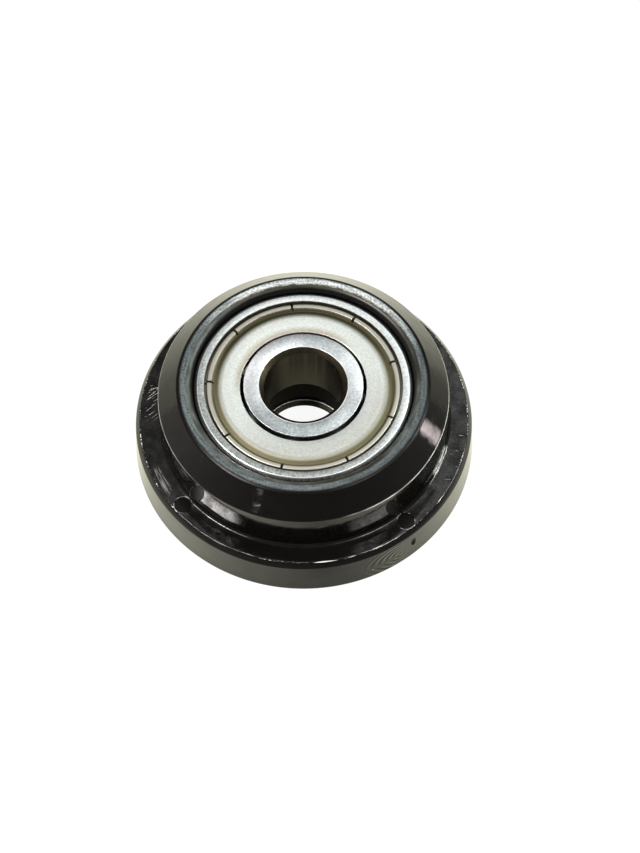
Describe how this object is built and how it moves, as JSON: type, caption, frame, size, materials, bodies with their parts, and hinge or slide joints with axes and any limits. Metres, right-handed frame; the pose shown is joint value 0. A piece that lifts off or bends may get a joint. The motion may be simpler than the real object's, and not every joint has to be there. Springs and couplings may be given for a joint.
{
  "type": "chain guide roller",
  "caption": "Black plastic guide roller with a single flange and a coned hub, turning on a pressed-in shielded ball bearing with a bore for an axle.",
  "frame": {"origin": "centre of the flange's flat underside, on the bearing's axis", "axes": "+Z along the bearing's axis, from the flange's underside towards the coned, open side"},
  "size_m": [0.035, 0.035, 0.0116],
  "materials": {
    "black_plastic": "moulded gloss black, lightly scuffed",
    "ring_steel": "ground bearing steel",
    "shield_steel": "pressed satin steel sheet",
    "cage_steel": "pressed mild steel",
    "ball_steel": "polished bearing steel"
  },
  "bodies": {
    "axle_side": {"inner_ring": "ring_steel"},
    "roller": {"roller_body": "black_plastic", "outer_ring": "ring_steel", "upper_shield": "shield_steel", "lower_shield": "shield_steel"},
    "ball_cage": {"upper_cage": "cage_steel", "lower_cage": "cage_steel", "cage_rivets": "cage_steel"},
    "ball_1": {"ball_1": "ball_steel"},
    "ball_2": {"ball_2": "ball_steel"},
    "ball_3": {"ball_3": "ball_steel"},
    "ball_4": {"ball_4": "ball_steel"},
    "ball_5": {"ball_5": "ball_steel"},
    "ball_6": {"ball_6": "ball_steel"},
    "ball_7": {"ball_7": "ball_steel"}
  },
  "joints": [
    {"name": "roller_spin", "type": "hinge", "parent": "axle_side", "child": "roller", "pos_m": [0, 0, 0.0076], "axis": [0, 0, 1], "continuous": true},
    {"name": "cage_spin", "type": "hinge", "parent": "axle_side", "child": "ball_cage", "pos_m": [0, 0, 0.0076], "axis": [0, 0, 1], "continuous": true},
    {"name": "ball_1_spin", "type": "hinge", "parent": "ball_cage", "child": "ball_1", "pos_m": [0.0075, 0, 0.0076], "axis": [0, 0, 1], "continuous": true},
    {"name": "ball_2_spin", "type": "hinge", "parent": "ball_cage", "child": "ball_2", "pos_m": [0.00468, 0.00586, 0.0076], "axis": [0, 0, 1], "continuous": true},
    {"name": "ball_3_spin", "type": "hinge", "parent": "ball_cage", "child": "ball_3", "pos_m": [-0.00167, 0.00731, 0.0076], "axis": [0, 0, 1], "continuous": true},
    {"name": "ball_4_spin", "type": "hinge", "parent": "ball_cage", "child": "ball_4", "pos_m": [-0.00676, 0.00325, 0.0076], "axis": [0, 0, 1], "continuous": true},
    {"name": "ball_5_spin", "type": "hinge", "parent": "ball_cage", "child": "ball_5", "pos_m": [-0.00676, -0.00325, 0.0076], "axis": [0, 0, 1], "continuous": true},
    {"name": "ball_6_spin", "type": "hinge", "parent": "ball_cage", "child": "ball_6", "pos_m": [-0.00167, -0.00731, 0.0076], "axis": [0, 0, 1], "continuous": true},
    {"name": "ball_7_spin", "type": "hinge", "parent": "ball_cage", "child": "ball_7", "pos_m": [0.00468, -0.00586, 0.0076], "axis": [0, 0, 1], "continuous": true}
  ],
  "couplings": [
    {"joint": "cage_spin", "follows": "roller_spin", "ratio": 0.6323},
    {"joint": "ball_1_spin", "follows": "roller_spin", "ratio": 1.7573},
    {"joint": "ball_2_spin", "follows": "roller_spin", "ratio": 1.7573},
    {"joint": "ball_3_spin", "follows": "roller_spin", "ratio": 1.7573},
    {"joint": "ball_4_spin", "follows": "roller_spin", "ratio": 1.7573},
    {"joint": "ball_5_spin", "follows": "roller_spin", "ratio": 1.7573},
    {"joint": "ball_6_spin", "follows": "roller_spin", "ratio": 1.7573},
    {"joint": "ball_7_spin", "follows": "roller_spin", "ratio": 1.7573}
  ]
}
